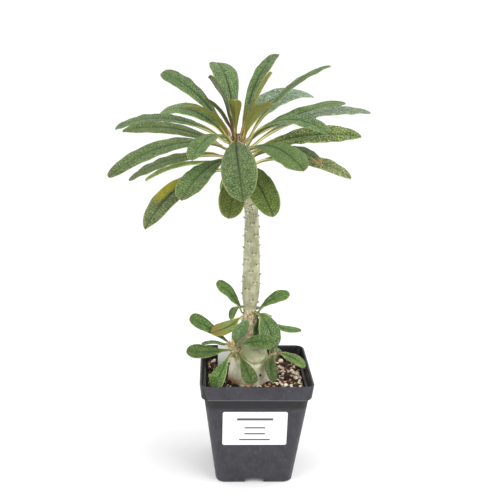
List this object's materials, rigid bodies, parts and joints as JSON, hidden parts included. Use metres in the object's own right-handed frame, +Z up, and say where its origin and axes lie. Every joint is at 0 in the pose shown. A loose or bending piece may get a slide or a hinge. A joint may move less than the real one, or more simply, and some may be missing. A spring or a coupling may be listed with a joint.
{
  "type": "potted dorstenia plant",
  "caption": "Swollen-stemmed succulent with a crown of long puckered leaves and low side shoots, in a square tapered nursery pot of gritty soil with a bare label and tag.",
  "frame": {"origin": "centre of the pot's flat underside, on the surface that the pot stands on", "axes": "+Z up along the pot's axis; -Y out of the side of the pot that carries the label; +X to the right of someone who faces the label"},
  "size_m": [0.1979, 0.1896, 0.3318],
  "materials": {
    "charcoal_plastic": "satin",
    "label_paper": "matte",
    "gritty_soil": "matte",
    "tag_plastic": "satin",
    "trunk_bark": "satin",
    "leaf": "satin",
    "old_leaf": "satin"
  },
  "bodies": {
    "root": {"pot": "charcoal_plastic", "label_sticker": "label_paper", "soil": "gritty_soil", "plant_tag": "tag_plastic", "trunk": "trunk_bark", "crown_leaf_01": "leaf", "crown_leaf_02": "leaf", "crown_leaf_03": "leaf", "crown_leaf_04": "leaf", "crown_leaf_05": "leaf", "crown_leaf_06": "leaf", "crown_leaf_07": "leaf", "crown_leaf_08": "leaf", "crown_leaf_09": "leaf", "crown_leaf_10": "leaf", "crown_leaf_11": "leaf", "crown_leaf_12": "leaf", "crown_leaf_13": "leaf", "crown_leaf_14": "leaf", "crown_leaf_15": "leaf", "crown_leaf_16": "leaf", "crown_leaf_17": "leaf", "crown_leaf_18": "leaf", "crown_leaf_19": "leaf", "crown_leaf_20": "leaf", "crown_leaf_21": "leaf", "crown_leaf_22": "leaf", "crown_leaf_23": "leaf", "crown_leaf_24": "leaf", "crown_leaf_25": "leaf", "crown_leaf_26": "leaf", "crown_leaf_27": "leaf", "crown_leaf_28": "leaf", "crown_leaf_29": "leaf", "crown_leaf_30": "leaf", "crown_leaf_31": "leaf", "crown_leaf_32": "leaf", "crown_leaf_33": "leaf", "crown_leaf_34": "leaf", "lower_leaf_01": "leaf", "lower_leaf_02": "leaf", "lower_leaf_03": "leaf", "lower_leaf_04": "leaf", "lower_leaf_05": "leaf", "lower_leaf_06": "leaf", "lower_leaf_07": "leaf", "lower_leaf_08": "leaf", "lower_leaf_09": "old_leaf", "lower_leaf_10": "leaf", "lower_leaf_11": "leaf", "lower_leaf_12": "leaf", "lower_leaf_13": "leaf", "lower_leaf_14": "leaf", "lower_leaf_15": "leaf", "lower_leaf_16": "leaf", "lower_leaf_17": "leaf", "lower_leaf_18": "leaf", "lower_leaf_19": "leaf", "lower_leaf_20": "leaf"}
  },
  "joints": []
}
